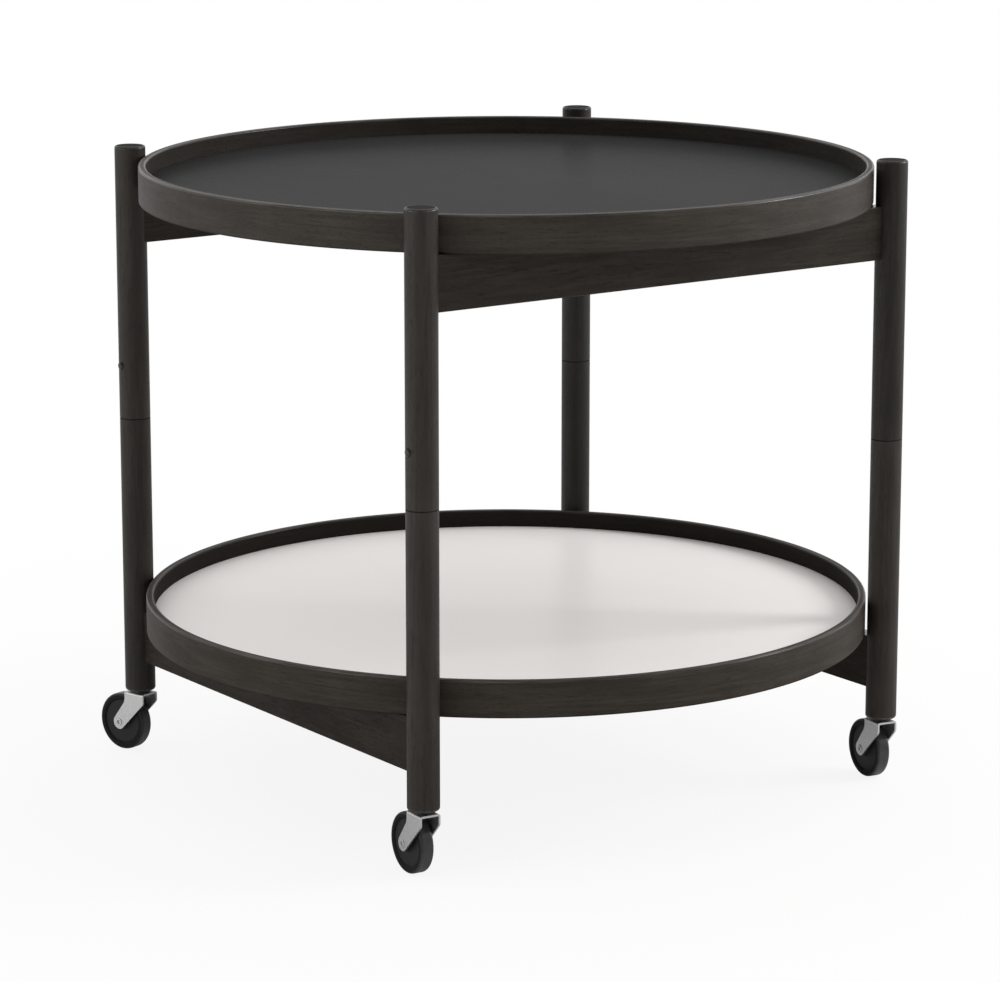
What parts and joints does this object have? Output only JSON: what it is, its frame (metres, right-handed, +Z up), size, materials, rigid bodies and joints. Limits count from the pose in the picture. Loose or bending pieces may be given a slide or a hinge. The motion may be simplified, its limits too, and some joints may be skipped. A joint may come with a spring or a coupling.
{
  "type": "tray table",
  "caption": "Round tray table: loose trays with bent-wood rims on a folding frame of round split legs with swivel casters.",
  "frame": {"origin": "on the floor, under the middle of the trays", "axes": "+Z up, +X along the upper rails, +Y along the lower rails"},
  "size_m": [0.6, 0.6, 0.5207],
  "materials": {
    "stained_wood": "black stained oak, satin oil",
    "pivot_steel": "turned steel",
    "pin_head": "blackened pin, satin",
    "zinc_plate": "bright zinc plate, satin",
    "sleeve_steel": "drawn steel",
    "black_nylon": "moulded nylon",
    "wheel_hub": "moulded black plastic",
    "wheel_tread": "hard black tread",
    "panel_board": "fibreboard core",
    "black_laminate": "black laminate, satin",
    "white_laminate": "white laminate, satin",
    "under_laminate": "dark laminate, satin"
  },
  "bodies": {
    "lower_left": {"leg_lower_left": "stained_wood", "leg_lower_front": "stained_wood", "rail_lower_left": "stained_wood", "pivot_pin_left": "pivot_steel", "pivot_pin_front": "pivot_steel", "caster_socket_left": "sleeve_steel", "caster_socket_front": "sleeve_steel"},
    "upper_front": {"leg_upper_front": "stained_wood", "leg_upper_right": "stained_wood", "rail_upper_front": "stained_wood", "retaining_pin_front": "pin_head", "retaining_pin_right": "pin_head"},
    "upper_back": {"leg_upper_left": "stained_wood", "leg_upper_back": "stained_wood", "rail_upper_back": "stained_wood", "retaining_pin_left": "pin_head", "retaining_pin_back": "pin_head"},
    "lower_right": {"leg_lower_right": "stained_wood", "leg_lower_back": "stained_wood", "rail_lower_right": "stained_wood", "pivot_pin_right": "pivot_steel", "pivot_pin_back": "pivot_steel", "caster_socket_right": "sleeve_steel", "caster_socket_back": "sleeve_steel"},
    "upper_tray": {"upper_tray_rim": "stained_wood", "upper_tray_core": "panel_board", "upper_tray_laminate_top": "black_laminate", "upper_tray_laminate_bottom": "under_laminate"},
    "lower_tray": {"lower_tray_rim": "stained_wood", "lower_tray_core": "panel_board", "lower_tray_laminate_top": "white_laminate", "lower_tray_laminate_bottom": "under_laminate"},
    "caster_front": {"caster_fork_front": "zinc_plate", "caster_stem_front": "zinc_plate", "swivel_washer_front": "black_nylon", "axle_rivet_front": "zinc_plate"},
    "wheel_front": {"wheel_hub_front": "wheel_hub", "wheel_tyre_front": "wheel_tread"},
    "caster_right": {"caster_fork_right": "zinc_plate", "caster_stem_right": "zinc_plate", "swivel_washer_right": "black_nylon", "axle_rivet_right": "zinc_plate"},
    "wheel_right": {"wheel_hub_right": "wheel_hub", "wheel_tyre_right": "wheel_tread"},
    "caster_back": {"caster_fork_back": "zinc_plate", "caster_stem_back": "zinc_plate", "swivel_washer_back": "black_nylon", "axle_rivet_back": "zinc_plate"},
    "wheel_back": {"wheel_hub_back": "wheel_hub", "wheel_tyre_back": "wheel_tread"},
    "caster_left": {"caster_fork_left": "zinc_plate", "caster_stem_left": "zinc_plate", "swivel_washer_left": "black_nylon", "axle_rivet_left": "zinc_plate"},
    "wheel_left": {"wheel_hub_left": "wheel_hub", "wheel_tyre_left": "wheel_tread"}
  },
  "joints": [
    {"name": "frame_fold", "type": "hinge", "parent": "lower_left", "child": "upper_front", "pos_m": [-0.22934, -0.21549, 0.2913], "axis": [0, 0, 1], "range_deg": [-0.3, 0.3]},
    {"name": "left_pivot", "type": "hinge", "parent": "lower_left", "child": "upper_back", "pos_m": [-0.22934, 0.21549, 0.2913], "axis": [0, 0, 1], "range_deg": [-0.3, 0.3]},
    {"name": "right_pivot", "type": "hinge", "parent": "upper_front", "child": "lower_right", "pos_m": [0.22934, -0.21549, 0.2913], "axis": [0, 0, 1], "range_deg": [-0.3, 0.3]},
    {"name": "upper_tray_lift", "type": "slide", "parent": "lower_left", "child": "upper_tray", "axis": [0, 0, 1], "range_m": [0, 0.12]},
    {"name": "lower_tray_lift", "type": "slide", "parent": "lower_left", "child": "lower_tray", "axis": [0, 0, 1], "range_m": [0, 0.25]},
    {"name": "front_caster_swivel", "type": "hinge", "parent": "lower_left", "child": "caster_front", "pos_m": [-0.22934, -0.21549, 0.0527], "axis": [0, 0, 1], "continuous": true},
    {"name": "front_wheel_spin", "type": "hinge", "parent": "caster_front", "child": "wheel_front", "pos_m": [-0.22809, -0.19804, 0.0244], "axis": [-0.9974, 0.0715, 0], "continuous": true},
    {"name": "right_caster_swivel", "type": "hinge", "parent": "lower_right", "child": "caster_right", "pos_m": [0.22934, -0.21549, 0.0527], "axis": [0, 0, 1], "continuous": true},
    {"name": "right_wheel_spin", "type": "hinge", "parent": "caster_right", "child": "wheel_right", "pos_m": [0.23205, -0.1982, 0.0244], "axis": [-0.988, 0.1547, 0], "continuous": true},
    {"name": "back_caster_swivel", "type": "hinge", "parent": "lower_right", "child": "caster_back", "pos_m": [0.22934, 0.21549, 0.0527], "axis": [0, 0, 1], "continuous": true},
    {"name": "back_wheel_spin", "type": "hinge", "parent": "caster_back", "child": "wheel_back", "pos_m": [0.22873, 0.23298, 0.0244], "axis": [-0.9994, -0.0349, 0], "continuous": true},
    {"name": "left_caster_swivel", "type": "hinge", "parent": "lower_left", "child": "caster_left", "pos_m": [-0.22934, 0.21549, 0.0527], "axis": [0, 0, 1], "continuous": true},
    {"name": "left_wheel_spin", "type": "hinge", "parent": "caster_left", "child": "wheel_left", "pos_m": [-0.23455, 0.2322, 0.0244], "axis": [-0.9548, -0.2974, 0], "continuous": true}
  ],
  "couplings": [
    {"joint": "left_pivot", "follows": "frame_fold", "ratio": 1},
    {"joint": "right_pivot", "follows": "frame_fold", "ratio": -1}
  ]
}
